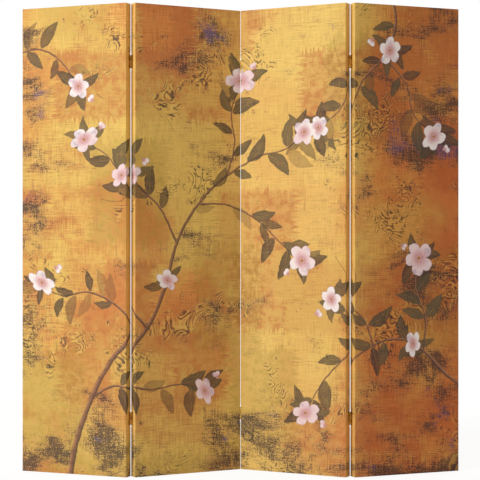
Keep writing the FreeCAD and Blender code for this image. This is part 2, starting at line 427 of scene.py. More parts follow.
printedCanvas = canvasMaterial("printedCanvas", True, (0, 0, 0))
groundCanvas = canvasMaterial("groundCanvas", False, (5.0, 3.0, 0))

metals = {
    "brass": {"light": "#E0BC6C", "deep": "#B88A3E", "tarnish": "#7A5A30"},
    "stapleWire": {"light": "#D6D4CE", "deep": "#A9A7A1", "tarnish": "#77726A"},
}


def metalMaterial(name):
    metal = metals[name]
    material, tree = newMaterial(name)
    at = addNode(tree, "ShaderNodeTexCoord", output="Object")
    patches = at.cloud(60.0, 4.0, 0.6)
    drawn = at.stretched((2600, 2600, 60)).cloud(1.0, 2.0, 0.6)
    base = layered(metal["light"], metal, (patches.ramp(0.35, 0.65), "deep"),
                   (patches.ramp(0.58, 0.75, 0.0, 0.6), "tarnish"))
    roughness = drawn * 0.16 + patches.ramp(0.3, 0.75, 0.24, 0.40)
    wireShader(tree, base, roughness, drawn, 0.12, 0.0002, {"Metallic": 1.0})
    return material


timber = {
    "pale": "#E2C08E",
    "late": "#B9854E",
    "ringPitch": 0.0045,
    # the grain runs up a stile and along a rail
    "grains": {"Upright": (1, 1, 0.06), "Level": (0.06, 1, 1)},
}


def pineMaterial(grain, number):
    # the grain of a rail turns with its panel
    material, tree = newMaterial(f"pine{grain}{number}")
    at = addNode(tree, "ShaderNodeTexCoord", output="Object").stretched(turn=-screen["turns"][number])
    drawn = at.stretched(timber["grains"][grain])
    inputs = {"Scale": 1 / timber["ringPitch"] / 20, "Distortion": 5.0, "Detail": 2.0, "Detail Scale": 1.4}
    rings = drawn.node("ShaderNodeTexWave", inputs, "Fac", bands_direction="Y", wave_profile="SAW")
    fibre = drawn.stretched((600, 600, 600)).cloud(1.0, 2.0, 0.6)
    mixed = drawn.cloud(14.0, 3.0, 0.5) * 0.4 + rings * 0.6
    base = layered(timber["pale"], timber, (mixed.ramp(0.3, 0.85), "late"), (fibre * 0.2, "late"))
    wireShader(tree, base, fibre.ramp(0.3, 0.7, 0.55, 0.75), fibre * 0.5 + rings, 0.3, 0.0004)
    return material


brass = metalMaterial("brass")
stapleWire = metalMaterial("stapleWire")
print("materials made")

# Where the motifs lie on the print, which runs on over the four panels, 0 to 1.8 m both ways.
design = {
    "seed": 23,
    # a stem is a path of places with the stem's half width in millimetres, and the shares of
    # the path between which leaves grow by turns, with their number
    "stems": [
        ([(0.20, -0.06, 13), (0.235, 0.12, 12), (0.30, 0.29, 10.5), (0.385, 0.44, 9.5), (0.50, 0.565, 8),
          (0.575, 0.72, 7.5), (0.625, 0.89, 6.5), (0.715, 1.04, 5.5), (0.84, 1.15, 4.5), (0.975, 1.225, 3.6),
          (1.09, 1.25, 2.8), (1.17, 1.30, 2.3)], (0.62, 0.97, 7)),
        ([(0.305, 0.30, 6), (0.40, 0.345, 4.6), (0.52, 0.33, 3.8), (0.64, 0.345, 3), (0.735, 0.32, 2.3)],
         (0.30, 1.0, 6)),
        ([(0.50, 0.565, 5.5), (0.405, 0.655, 4.6), (0.29, 0.70, 3.8), (0.18, 0.685, 3), (0.085, 0.72, 2.4)],
         (0.25, 1.0, 7)),
        ([(0.625, 0.89, 5), (0.555, 1.02, 4.2), (0.455, 1.115, 3.4), (0.375, 1.215, 2.8), (0.29, 1.27, 2.2)],
         (0.22, 1.0, 7)),
        ([(0.715, 1.04, 4.4), (0.85, 1.035, 3.6), (0.975, 0.975, 3), (1.08, 0.885, 2.6), (1.15, 0.83, 2.2)],
         (0.25, 1.0, 6)),
        ([(0.84, 1.15, 3.8), (0.875, 1.275, 3.2), (0.86, 1.40, 2.7), (0.90, 1.51, 2.2)], (0.25, 1.0, 5)),
        ([(1.87, 0.30, 8), (1.75, 0.375, 7), (1.645, 0.475, 6), (1.545, 0.52, 5), (1.43, 0.50, 4.2),
          (1.32, 0.43, 3.4), (1.235, 0.33, 2.6), (1.19, 0.25, 2.2)], (0.30, 1.0, 8)),
        ([(1.645, 0.475, 4.4), (1.655, 0.60, 3.6), (1.61, 0.72, 3), (1.625, 0.82, 2.4)], (0.3, 1.0, 5)),
        ([(1.43, 0.50, 3.8), (1.385, 0.60, 3), (1.30, 0.665, 2.4)], (0.35, 1.0, 3)),
        ([(1.50, 1.87, 6.5), (1.525, 1.73, 5.4), (1.475, 1.60, 4.4), (1.385, 1.51, 3.6), (1.33, 1.40, 2.9),
          (1.245, 1.335, 2.2)], (0.2, 1.0, 8)),
        ([(1.475, 1.60, 3.8), (1.57, 1.50, 3.2), (1.60, 1.39, 2.7), (1.68, 1.31, 2.2)], (0.25, 1.0, 5)),
        ([(-0.05, 1.62, 4.6), (0.07, 1.64, 3.8), (0.17, 1.59, 3.2), (0.235, 1.50, 2.6)], (0.2, 1.0, 5)),
    ],
    # place, width across the petals and turn in degrees
    "blossoms": [
        (0.085, 0.735, 0.125, 10), (0.27, 1.285, 0.135, 50), (0.43, 1.145, 0.10, 20),
        (0.745, 0.315, 0.12, 70), (0.90, 1.525, 0.13, 35), (1.175, 1.315, 0.115, 5),
        (1.165, 0.82, 0.13, 60), (0.585, 0.745, 0.10, 15), (1.18, 0.235, 0.12, 30),
        (1.625, 0.83, 0.135, 44), (1.29, 0.675, 0.10, 12), (1.69, 1.30, 0.125, 66),
        (1.235, 1.33, 0.095, 40), (1.50, 1.625, 0.12, 25), (0.245, 1.49, 0.10, 8), (1.60, 0.50, 0.105, 52),
    ],
    "buds": [(0.155, 0.79), (0.345, 1.335), (0.795, 0.375), (0.955, 1.58), (1.10, 0.775), (1.255, 0.195),
             (1.56, 0.875), (1.745, 1.255), (1.235, 0.62), (0.30, 1.44), (0.49, 1.20), (1.42, 1.655)],
    "stemSwell": (-0.10, 0.14),  # how a stem's width wavers, as a share of it
    "wobble": 0.0016,  # how far a stem wanders off its path
    "leafLength": (0.080, 0.130),
    "leafShape": (0.36, 0.46),  # width as a share of length
    "leafAngle": (28, 75),  # between a leaf and its stem, in degrees
    "leafHang": 0.12,  # how far a leaf may hang towards the ground, as a share of the way
    "leafBend": 0.5,
    "leafStalk": 0.006,
    "leafShift": 0.25,  # how unevenly leaves follow each other
    "leafShades": (0.15, 1.0),
    "twinLeaves": 0.35,  # how often two leaves grow from one place
    # the leaves round a blossom: how many, angles between them, shares of a leaf and a blossom
    "ruff": {"counts": (2, 3, 3), "gap": 2.1, "shift": 0.4, "sizeShare": 0.85, "footShare": 0.12,
             "shades": (0.35, 1.0)},
    "flowerTurn": (0.62, 0.96),  # how narrow a flower looks from its side
    "petalTurn": 7,  # how far a petal strays from its fifth of the circle, in degrees
    "petalSizes": (0.92, 1.08),
    "budSize": 0.026,
    "budSizes": (0.85, 1.15),
    "budOpening": 0.45,  # half the angle between the two petals of a bud
    "budFootShare": 0.4,
    # shares of a petal's length: an oval with a wavy rim, a notched tip and a round heart
    "petalShares": {"centre": 0.58, "reach": 0.42, "halfWidth": 0.37, "radius": 0.39, "fan": 0.6,
                    "wave": 0.05, "notch": 0.10, "notchWidth": 0.22, "heart": 0.22},
}


def smoothPath(path, pieces=7):
    # a smooth curve through the places, as short straight runs
    points = [np.array(p, float) for p in path]
    points = [2 * points[0] - points[1]] + points + [2 * points[-1] - points[-2]]
    run = []
    for a, b, c, d in zip(points, points[1:], points[2:], points[3:]):
        for i in range(pieces):
            t = i / pieces
            bends = (2 * a - 5 * b + 4 * c - d) * t * t + (3 * b - a - 3 * c + d) * t ** 3
            run.append(0.5 * (2 * b + (c - a) * t + bends))
    return np.array(run + [points[-2]])


def towards(angle):
    return np.array([math.cos(angle), math.sin(angle)])


class Inks:
    # the fields that the print's material reads, at every place of the cloth, in millimetres
    # from the edge of the nearest motif
    far = 12.0

    def __init__(self, place):
        self.place = place
        count = len(place)
        self.twig = np.tile([self.far, self.far, 1.0], (count, 1))
        self.leaf = np.tile([self.far, 0.0, 0.0], (count, 1))
        self.petal = np.tile([self.far, 0.0, 1.0], (count, 1))
        self.shade = np.full(count, 0.5)

    def near(self, centre, reach):
        away = np.abs(self.place - centre)
        return np.nonzero((away[:, 0] < reach) & (away[:, 1] < reach))[0]

    def lay(self, field, found, distance, *others):
        # a motif is kept where its edge is nearer than the edge that is there
        over = distance < field[found, 0]
        field[found[over]] = np.stack([distance, *others], 1)[over]
        return found[over]

    def stroke(self, run):
        lean = 1 if run[-1][0] >= run[0][0] else -1  # which side of the stem is its lower one
        for start, end in zip(run, run[1:]):
            step = end[:2] - start[:2]
            length = np.hypot(*step)
            found = self.near((start[:2] + end[:2]) / 2, length / 2 + (self.far + start[2]) / 1000)
            away = self.place[found] - start[:2]
            t = np.clip(away @ step / length ** 2, 0, 1)
            width = start[2] + (end[2] - start[2]) * t
            off = away - t[:, None] * step
            side = step[0] * away[:, 1] - step[1] * away[:, 0]
            offset = np.hypot(off[:, 0], off[:, 1]) * 1000
            self.lay(self.twig, found, offset - width, lean * np.copysign(offset, side), width)

    def addLeaf(self, foot, direction, length, width, bend, shade):
        found = self.near(foot, length + self.far / 1000)
        away = self.place[found] - foot
        t = away @ towards(direction) / length
        inside = np.clip(t, 0, 1)
        s = away @ towards(direction + math.pi / 2) - bend * length * inside * (1 - inside)
        # widest near the foot, and 0.92 makes up for the slope of the sides
        half = width / 2 * np.sin(math.pi * inside ** 0.78) ** 0.9
        beyond = np.maximum(np.maximum(-t, t - 1), 0) * length
        distance = np.where(beyond > 0, np.hypot(beyond, s), (np.abs(s) - half) * 0.92) * 1000
        self.shade[self.lay(self.leaf, found, distance, s * 1000, t)] = shade

    def addPetal(self, centre, direction, length, squeeze, tilt):
        share = design["petalShares"]
        found = self.near(centre, length + self.far / 1000)
        away = self.place[found] - centre
        # seen from the side, a flower is narrower; its streaks run by sixtieths of its length
        away = away + np.outer(away @ towards(tilt) * (1 / squeeze - 1), towards(tilt))
        t = away @ towards(direction) / length
        s = away @ towards(direction + math.pi / 2) / length
        angle = np.arctan2(s, t - share["fan"])
        notch = share["notch"] * np.exp(-(angle / share["notchWidth"]) ** 2)
        rim = 1 + share["wave"] * np.cos(3 * angle + direction * 5) - notch
        oval = np.hypot((t - share["centre"]) / share["reach"], s / share["halfWidth"]) - rim
        oval = oval * share["radius"] * squeeze ** 0.5
        heart = np.hypot(t, s) - share["heart"]
        self.lay(self.petal, found, np.minimum(oval, heart) * length * 1000, s * 60, np.hypot(t, s))


def drawDesign(place):
    rng = random.Random(design["seed"])
    drawn = Inks(place)

    def within(reach):
        return rng.uniform(-reach, reach)

    def growLeaf(foot, direction, size, shades):
        length = rng.uniform(*design["leafLength"]) * size
        width = length * rng.uniform(*design["leafShape"])
        drawn.addLeaf(foot, direction, length, width, within(design["leafBend"]), rng.uniform(*shades))

    for path, (first, last, count) in design["stems"]:
        run = smoothPath(path)
        run[:, 2] *= [1 + rng.uniform(*design["stemSwell"]) for _ in run]
        run[:, :2] += [[within(design["wobble"]), within(design["wobble"])] for _ in run]
        drawn.stroke(run)
        side = rng.choice((-1, 1))
        for number in range(count):
            share = first + (last - first) * (number + within(design["leafShift"])) / max(1, count - 1)
            at = min(max(share, 0), 1) * (len(run) - 1)
            i = min(int(at), len(run) - 2)
            step = run[i + 1, :2] - run[i, :2]
            foot = run[i, :2] + step * (at - i)
            for _ in range(2 if rng.random() < design["twinLeaves"] else 1):
                angle = math.radians(rng.uniform(*design["leafAngle"]))
                direction = math.atan2(step[1], step[0]) + side * angle
                direction += (math.radians(-90) - direction) * rng.uniform(0.0, design["leafHang"])
                growLeaf(foot + design["leafStalk"] * towards(direction), direction, 1, design["leafShades"])
                side = -side
    ruff = design["ruff"]
    for u, v, size, turn in design["blossoms"]:
        centre = np.array([u, v])
        spread = rng.uniform(0, 2 * math.pi)
        for number in range(rng.choice(ruff["counts"])):
            direction = spread + number * ruff["gap"] + within(ruff["shift"])
            foot = centre + ruff["footShare"] * size * towards(direction)
            growLeaf(foot, direction, ruff["sizeShare"], ruff["shades"])
        squeeze, tilt = rng.uniform(*design["flowerTurn"]), rng.uniform(0, math.pi)
        for petal in range(5):
            direction = math.radians(turn + 72 * petal + within(design["petalTurn"]))
            length = size / 2 * rng.uniform(*design["petalSizes"])
            drawn.addPetal(centre, direction, length, squeeze, tilt)
    for centre in design["buds"]:
        direction = rng.uniform(0, 2 * math.pi)
        foot = np.array(centre) - design["budFootShare"] * design["budSize"] * towards(direction)
        for offset in (-design["budOpening"], design["budOpening"]):
            length = design["budSize"] * rng.uniform(*design["budSizes"])
            drawn.addPetal(foot, direction + offset, length, 1.0, 0.0)
    return drawn


def clothFrom(name, points, faces, place, corners, softFaces, material):
    # Faces are rows of point numbers in groups of one size, and corners are the places of
    # their corners on the print. The first faces, as many as softFaces, are shaded smooth.
    loops = np.concatenate([group.ravel() for group in faces]).astype(np.int32)
    sizes = np.concatenate([np.full(len(group), group.shape[1]) for group in faces])
    mesh = bpy.data.meshes.new(name)
    mesh.vertices.add(len(points))
    mesh.vertices.foreach_set("co", np.asarray(points, np.float32).ravel())
    mesh.loops.add(len(loops))
    mesh.loops.foreach_set("vertex_index", loops)
    mesh.polygons.add(len(sizes))
    mesh.polygons.foreach_set("loop_start", (np.cumsum(sizes) - sizes).astype(np.int32))
    mesh.update(calc_edges=True)
    mesh.validate()
    mesh.transform(place)
    layer = mesh.uv_layers.new(name="print")
    layer.uv.foreach_set("vector", corners.astype(np.float32).ravel())
    mesh.polygons.foreach_set("use_smooth", np.arange(len(sizes)) < softFaces)
    mesh.materials.append(material)
    return putInScene(name, mesh)


def setAttribute(mesh, name, values):
    kind, field = ("FLOAT", "value") if values.ndim == 1 else ("FLOAT_VECTOR", "vector")
    made = mesh.attributes.new(name, kind, "POINT")
    made.data.foreach_set(field, values.astype(np.float32).ravel())


def easeStep(value):
    value = np.clip(value, 0, 1)
    return value * value * (3 - 2 * value)


def fromRim(x, z, width=panelWidth, height=panelHeight):
    return np.minimum(np.minimum(x, width - x), np.minimum(z, height - z))


def cellsOf(grid):
    return np.stack([grid[:-1, :-1], grid[1:, :-1], grid[1:, 1:], grid[:-1, 1:]], -1).reshape(-1, 4)


def roundEdge(grid):
    return np.concatenate([grid[0, :], grid[1:, -1], grid[-1, -2::-1], grid[-2:0:-1, 0]])


canvas = {
    "thickness": 0.0007,
    "edgeRadius": 0.0010,
    "swell": 0.0008,  # how far the cloth of the sides stands off the wood
    "swellEnds": 0.010,
    "rimLift": 0.0005,  # how far the bead round the frame holds the face forward
    "rimRun": 0.030,
    "pressedEdge": 0.001,  # how far beyond a hinge the cloth is still pressed flat
    "pressedRun": 0.014,  # how far from there it is free again
    "grid": 0.0035,
    "turnOver": 0.034,
    "cornerFold": 0.00045,  # how far the folded cloth stands up at the corners of the top and foot
    # over how much cloth a fold rises: beside its slanting edge, at the corner, behind the face
    # and in front of the back
    "foldRuns": (0.003, 0.004, 0.006, 0.004),
    "sway": 0.00025,
    "swayRun": 0.06,
    "swayWaves": ((17, 3.1), (-5, 9.3), (12, 21)),  # radians a metre, across and up
}


def gridLine(length):
    radius = canvas["edgeRadius"]
    ease = np.array([0, radius / 3, 2 * radius / 3])
    middle = np.linspace(radius, length - radius, max(2, round(length / canvas["grid"])))
    return np.concatenate([ease, middle, length - ease[::-1]])


def faced(points, corners, outward):
    # four corners, turned round where they would face the wrong way
    a, b, c = (points[i] for i in corners[:3])
    return corners[::-1] if np.dot(np.cross(b - a, c - b), outward) < 0 else corners


def onSide(side, flat):
    # where a side of the tray lies on the print
    x, y, z = np.moveaxis(flat, -1, 0)
    lies = {"front": (x, z), "left": (-y, z), "right": (panelWidth + y, z), "top": (x, panelHeight + y),
            "foot": (x, -y)}
    return np.stack(lies[side], -1)


def traySkin():
    # The outer side of a panel's front canvas, in the panel's own frame of reference: points,
    # faces, places of the face corners and of the points on the print, and the rim of its
    # back, as point numbers and as places.
    size = np.array([panelWidth, screen["trayDepth"], panelHeight])
    lines = [gridLine(length) for length in size]
    number = np.arange(math.prod(len(line) for line in lines)).reshape([len(line) for line in lines])
    sides = {
        "front": cellsOf(number[:, 0, :]),
        "left": cellsOf(number[0])[:, ::-1],
        "right": cellsOf(number[-1]),
        "top": cellsOf(number[:, :, -1]),
        "foot": cellsOf(number[:, :, 0])[:, ::-1],
    }
    keys = np.unique(np.concatenate(list(sides.values())))
    sides = {side: np.searchsorted(keys, cells) for side, cells in sides.items()}
    i, j, k = np.unravel_index(keys, number.shape)
    ends = {"foot": k == 0, "top": k == len(lines[2]) - 1, "right": i == len(lines[0]) - 1, "left": i == 0}
    flat = np.stack([line[n] for line, n in zip(lines, (i, j, k))], 1)
    core = np.clip(flat, canvas["edgeRadius"], size - canvas["edgeRadius"])
    out = flat - core
    points = core + canvas["edgeRadius"] * out / np.linalg.norm(out, axis=1, keepdims=True)
    # the face sways between nothing and twice its sway, and not at all near its edges
    x, y, z = points.T
    a, b, c = (x * across + z * up for across, up in canvas["swayWaves"])
    sway = 1 + (np.sin(a) * np.cos(b) + 0.6 * np.sin(c)) / 1.6
    points[:, 1] += (j == 0) * canvas["sway"] * easeStep(fromRim(x, z) / canvas["swayRun"]) * sway
    # the spare cloth is folded flat at the corners of the top and the foot
    inner = np.minimum(x, panelWidth - x)
    fold = canvas["cornerFold"]
    for along, run in zip((y - inner, inner, y, size[1] - y), canvas["foldRuns"]):
        fold = fold * easeStep(along / run)
    points[:, 2] += np.where(ends["top"], fold, 0) - np.where(ends["foot"], fold, 0)
    corners = [onSide(side, flat[cells]).reshape(-1, 2) for side, cells in sides.items()]
    onPrint = np.where((j == 0)[:, None], onSide("front", flat), 0)
    for side, chosen in ends.items():
        onPrint = np.where((chosen & (j > 0))[:, None], onSide(side, flat), onPrint)
    rim = np.searchsorted(keys, roundEdge(number[:, -1, :]))
    return points, np.concatenate(list(sides.values())), corners, onPrint, rim, flat[rim]


def stretchedTray():
    # the whole front canvas, as points, faces, places of the face corners and of the points
    # on the print, and how many faces are its skin
    points, quads, corners, onPrint, rim, rimPlaces = traySkin()
    turn, thick, depth = canvas["turnOver"], canvas["thickness"], screen["trayDepth"]
    # the strip turned onto the back, whose inner edge has one point where many would meet
    hem = np.clip(rimPlaces, (turn, depth, turn), (panelWidth - turn, depth, panelHeight - turn))
    fresh = np.any(hem != np.roll(hem, 1, 0), 1)
    hems = hem[fresh]
    hemOf = len(points) + (np.cumsum(fresh) - 1) % len(hems)
    strip = np.stack([rim, np.roll(rim, -1), np.roll(hemOf, -1), hemOf], 1)
    wedge = strip[:, 2] == strip[:, 3]
    # the inner side, which only the frame touches, and the window in the back
    inside = [(x, y, z) for x in (thick, panelWidth - thick) for y in (thick, depth - thick)
              for z in (thick, panelHeight - thick)]
    low, right, high = turn, panelWidth - turn, panelHeight - turn
    window = [(x, depth - thick, z) for x, z in ((low, low), (low, high), (right, high), (right, low))]
    allPoints = np.concatenate([points, hems, inside, window])
    box = len(points) + len(hems) + np.arange(8).reshape(2, 2, 2)
    mouth = len(allPoints) - 4 + np.arange(4)
    plain = []
    for axis, end in ((1, 0), (0, 0), (0, 1), (2, 0), (2, 1)):
        wall = roundEdge(np.take(box, end, axis))
        plain.append(faced(allPoints, wall, np.eye(3)[axis] * (1 - 2 * end)))
    cutEdges = []
    back = roundEdge(box[:, 1, :])
    first = [np.argmin(np.abs(hems - corner).sum(1)) for corner in window]
    for n, m in ((0, 1), (1, 2), (2, 3), (3, 0)):
        plain.append(faced(allPoints, [back[n], back[m], mouth[m], mouth[n]], (0, -1, 0)))
        # the cut edge of the turned strip is one long face on each side of the window
        run = (first[n] + np.arange((first[m] - first[n]) % len(hems) + 1)) % len(hems)
        cutEdges.append(np.array([[*(len(points) + run), mouth[m], mouth[n]]]))
    faces = [quads, strip[~wedge], strip[wedge][:, :3], np.array(plain)] + cutEdges
    rest = np.concatenate([group.ravel() for group in faces[1:]])
    corners.append(allPoints[rest][:, [0, 2]])
    return allPoints, faces, np.concatenate(corners), onPrint, len(quads) + len(strip)


def swollenSkin(points, number):
    # The cloth stands a little off the wood along its sides and the rim of its face, and
    # the hinges press it flat.
    moved = points.copy()
    x, y, z = points.T
    free = 1
    for middle in hingeHeights:
        away = np.abs(z - middle) - hinge["height"] / 2 - canvas["pressedEdge"]
        free = free * easeStep(away / canvas["pressedRun"])
    for other, sign, away in (("right", -1, x), ("left", 1, panelWidth - x)):
        swell = 1 - easeStep((away - canvas["edgeRadius"]) / canvas["swellEnds"])
        hinged = any(fold[other] == number for fold in folds.values())
        moved[:, 0] += sign * canvas["swell"] * swell * (free if hinged else 1)
    lift = 1 - easeStep((fromRim(x, z) - canvas["edgeRadius"]) / canvas["rimRun"])
    lift = lift * (1 - easeStep((y - canvas["edgeRadius"]) / canvas["swellEnds"]))
    moved[:, 1] -= canvas["rimLift"] * lift * free
    return moved


points, faces, corners, onPrint, softFaces = stretchedTray()
skinCount = len(onPrint)
# the points of the wrapped sides, which the print's material paints paler as painted light
wrapped = (points[:, 1] > canvas["edgeRadius"] / 2) & (np.arange(len(points)) < skinCount)
# the points behind the skin lie off the print and take no ink
onPrint = np.concatenate([onPrint, np.full((len(points) - skinCount, 2), -9.0)])
starts = {number: (number - 1) * panelWidth for number in places}
field = drawDesign(np.concatenate([onPrint + (starts[number], 0) for number in places]))
print("print drawn at", len(field.place), "places")

frontCanvases = {}
for number, place in places.items():
    own = slice((number - 1) * len(points), number * len(points))
    cloth = np.concatenate([swollenSkin(points[:skinCount], number), points[skinCount:]])
    front = clothFrom(f"frontCanvas{number}", cloth, faces, place, corners + (starts[number], 0), softFaces,
                      printedCanvas)
    for name, values in (("twigInk", field.twig[own]), ("leafInk", field.leaf[own]),
                         ("petalInk", field.petal[own]), ("leafShade", field.shade[own]),
                         ("wrapped", wrapped)):
        setAttribute(front.data, name, values)
    frontCanvases[number] = front
print("front canvases made,", len(frontCanvases[1].data.polygons), "faces each")

# the back canvases are hemmed cloths stapled over the turned strip
backCloth = {
    "margin": 0.007,
    "hemWidth": 0.012,
    "hemRise": 0.00030,
    "hemFoot": 0.0008,  # how far the foot of the hem's edge lies beyond its width
    "hemStep": 0.0014,  # over how much cloth that edge rises
    "edgeRound": 0.0008,
    "grid": 0.016,
    "stapleSpacing": 0.060,
    "stapleInset": 0.0055,
    "pucker": 0.00018,
    "puckerRun": 0.014,
    "slack": 0.0001,
    "slackRun": 0.08,
    "slackWaves": ((14, 4), (0, 7.7)),
    "rimPlaces": (0, 0.0003, 0.0008, 0.002, 0.0055, 0.009),  # where the grid is cut near the rim
    "fieldGap": 0.004,  # between the hem and the even grid
}


def hemLine(length):
    foot = backCloth["hemWidth"] + backCloth["hemFoot"]
    ease = np.array([*backCloth["rimPlaces"], foot - backCloth["hemStep"], foot])
    inner = foot + backCloth["fieldGap"]
    middle = np.linspace(inner, length - inner, round((length - 2 * inner) / backCloth["grid"]) + 1)
    return np.concatenate([ease, middle, length - ease[::-1]])


def backSheet():
    margin = backCloth["margin"]
    width, height = panelWidth - 2 * margin, panelHeight - 2 * margin
    x, z = np.meshgrid(hemLine(width), hemLine(height), indexing="ij")
    rim = fromRim(x, z, width, height)
    hem = easeStep((backCloth["hemWidth"] + backCloth["hemFoot"] - rim) / backCloth["hemStep"])
    rounded = np.sqrt(np.clip(1 - (1 - np.clip(rim / backCloth["edgeRound"], 0, 1)) ** 2, 0, 1))
    wave = sum(np.cos(2 * math.pi * along / backCloth["stapleSpacing"]) for along in (z, x))
    low = screen["trayDepth"]
    pucker = backCloth["pucker"] * wave * np.exp(-rim / backCloth["puckerRun"])
    rise = (panelDepth - low + backCloth["hemRise"] * hem - pucker) * rounded
    a, b = (x * across + z * up for across, up in backCloth["slackWaves"])
    slack = easeStep(rim / backCloth["slackRun"]) * (1 + np.sin(a) * np.cos(b))
    top = np.stack([x + margin, low + rise - backCloth["slack"] * slack, z + margin], -1)
    number = np.arange(x.size).reshape(x.shape)
    # the rim already lies on the strip below, so the underside closes on the same points
    return top.reshape(-1, 3), [cellsOf(number.T), roundEdge(number)[None, ::-1]]


points, faces = backSheet()
corners = points[np.concatenate([group.ravel() for group in faces])][:, [0, 2]] * (-1, 1)
backCanvases = {}
for number, place in places.items():
    onCloth = corners + (4 * panelWidth - starts[number], 0)
    backCanvases[number] = clothFrom(f"backCanvas{number}", points, faces, place, onCloth, len(faces[0]),
                                     groundCanvas)
print("back canvases made,", len(backCanvases[1].data.polygons), "faces each")


# What repeats is made by node trees: staples round the back canvases, screws in the hinges.
def newTree(name, kinds):
    # gives the tree's named inputs as signals, and their identifiers
    tree = bpy.data.node_groups.new(name, "GeometryNodeTree")
    tree.interface.new_socket(name="Geometry", in_out="OUTPUT", socket_type="NodeSocketGeometry")
    identifiers = {}
    for label, kind in {"Geometry": "Geometry", **kinds, "Seed": "Int", "Material": "Material"}.items():
        made = tree.interface.new_socket(name=label, in_out="INPUT", socket_type="NodeSocket" + kind)
        identifiers[label] = made.identifier
    given = tree.nodes.new("NodeGroupInput")
    return tree, {label: Signal(given.outputs[label]) for label in identifiers}, identifiers


def finishTree(given, points, shape, rotation):
    rows = points.node("GeometryNodeInstanceOnPoints", {"Instance": shape, "Rotation": rotation})
    real = rows.node("GeometryNodeRealizeInstances")
    painted = real.node("GeometryNodeSetMaterial", {"Material": given["Material"]})
    feed(points.tree.nodes.new("NodeGroupOutput"), {0: painted})


def spun(rotation, low, high, seed, space):
    # a rotation turned on by a chance angle
    limits = {"Min": low, "Max": high, "Seed": seed}
    angle = addNode(rotation.tree, "FunctionNodeRandomValue", limits, "Value", data_type="FLOAT")
    turn = joined(0, 0, angle).node("FunctionNodeEulerToRotation")
    return rotation.node("FunctionNodeRotateRotation", {1: turn}, rotation_space=space)


def grow(name, baseMesh, tree, identifiers, values, place):
    # runs a tree on a mesh and keeps the result as a plain mesh piece
    carrier = putInScene(name, baseMesh)
    modifier = carrier.modifiers.new("grow", "NODES")
    modifier.node_group = tree
    for label, value in values.items():
        modifier[identifiers[label]] = value
    bpy.context.view_layer.update()
    mesh = bpy.data.meshes.new_from_object(carrier.evaluated_get(bpy.context.evaluated_depsgraph_get()))
    carrier.modifiers.remove(modifier)
    carrier.data = mesh
    bpy.data.meshes.remove(baseMesh)
    mesh.name = name
    mesh.transform(place)
    return carrier


def meshOf(name, points, faces=()):
    mesh = bpy.data.meshes.new(name)
    mesh.from_pydata([tuple(p) for p in points], [], faces)
    return mesh


staple = {"Crown": 0.0105, "Leg": 0.0016, "Wire Width": 0.0012, "Wire Thickness": 0.0005, "Bend": 0.0006,
          "Skew": 0.10}


def stapleTree():
    lengths = ["Width", "Height", "Spacing", *staple]
    tree, given, identifiers = newTree("stapleRow", dict.fromkeys(lengths, "Float"))

    def rectangle(width, height):
        return addNode(tree, "GeometryNodeCurvePrimitiveQuadrilateral", {"Width": width, "Height": height})

    edge = rectangle(given["Width"], given["Height"])
    edge = edge.node("GeometryNodeResampleCurve", {"Length": given["Spacing"]}, mode="LENGTH")
    spots = edge.node("GeometryNodeCurveToPoints", mode="EVALUATED")
    # a staple is a closed loop of flat wire, whose lower half is in the wood
    loop = rectangle(given["Crown"], given["Leg"] * 2.0)
    loop = loop.node("GeometryNodeFilletCurve", {"Radius": given["Bend"], "Count": 3}, mode="POLY")
    wire = rectangle(given["Wire Thickness"], given["Wire Width"])
    wire = loop.node("GeometryNodeCurveToMesh", {"Profile Curve": wire})
    upright = wire.node("GeometryNodeTransform", {"Rotation": (math.radians(90), 0, 0)})
    tangent = {"Vector": spots.other("Tangent")}
    along = addNode(tree, "FunctionNodeAlignRotationToVector", tangent, axis="X", pivot_axis="Z")
    turned = spun(along, given["Skew"] * -1.0, given["Skew"], given["Seed"], "GLOBAL")
    finishTree(given, spots, upright, turned)
    return tree, identifiers


tree, identifiers = stapleTree()
staples = {}
reach = 2 * (backCloth["margin"] + backCloth["stapleInset"])
# the crown lies flat on the hem and the legs are driven into the wood
crownPlace = panelDepth + backCloth["hemRise"] + staple["Wire Thickness"] / 2
layBack = Matrix.Translation((panelWidth / 2, crownPlace - staple["Leg"], panelHeight / 2))
layBack = layBack @ Matrix.Rotation(math.radians(-90), 4, "X")
for number, place in places.items():
    values = {**staple, "Width": panelWidth - reach, "Height": panelHeight - reach,
              "Spacing": backCloth["stapleSpacing"], "Seed": number, "Material": stapleWire}
    staples[number] = grow(f"staples{number}", meshOf("spot", [(0, 0, 0)]), tree, identifiers, values,
                           place @ layBack)
print("staples made,", len(staples[1].data.polygons), "faces a panel")

screw = {
    "headRadius": 0.0028,
    "headRise": 0.00018,
    "headFoot": -0.00002,
    "domeShares": (0.76, 0.92, 1.0),  # of the head's radius, the circles that its dome is drawn by
    "domeDropShare": 0.86,
    "shankRadius": 0.0016,
    "shankLength": 0.0007,
    "slot": 0.0006,
    "slotReach": 0.0017,
    "slotDepth": 0.00025,
    "slotFloorShare": 0.8,
    "rounds": 24,
}


def domeHeight(radius):
    drop = screw["domeDropShare"] * (radius / screw["headRadius"]) ** 2
    return screw["headRise"] * math.sqrt(max(0, 1 - drop))


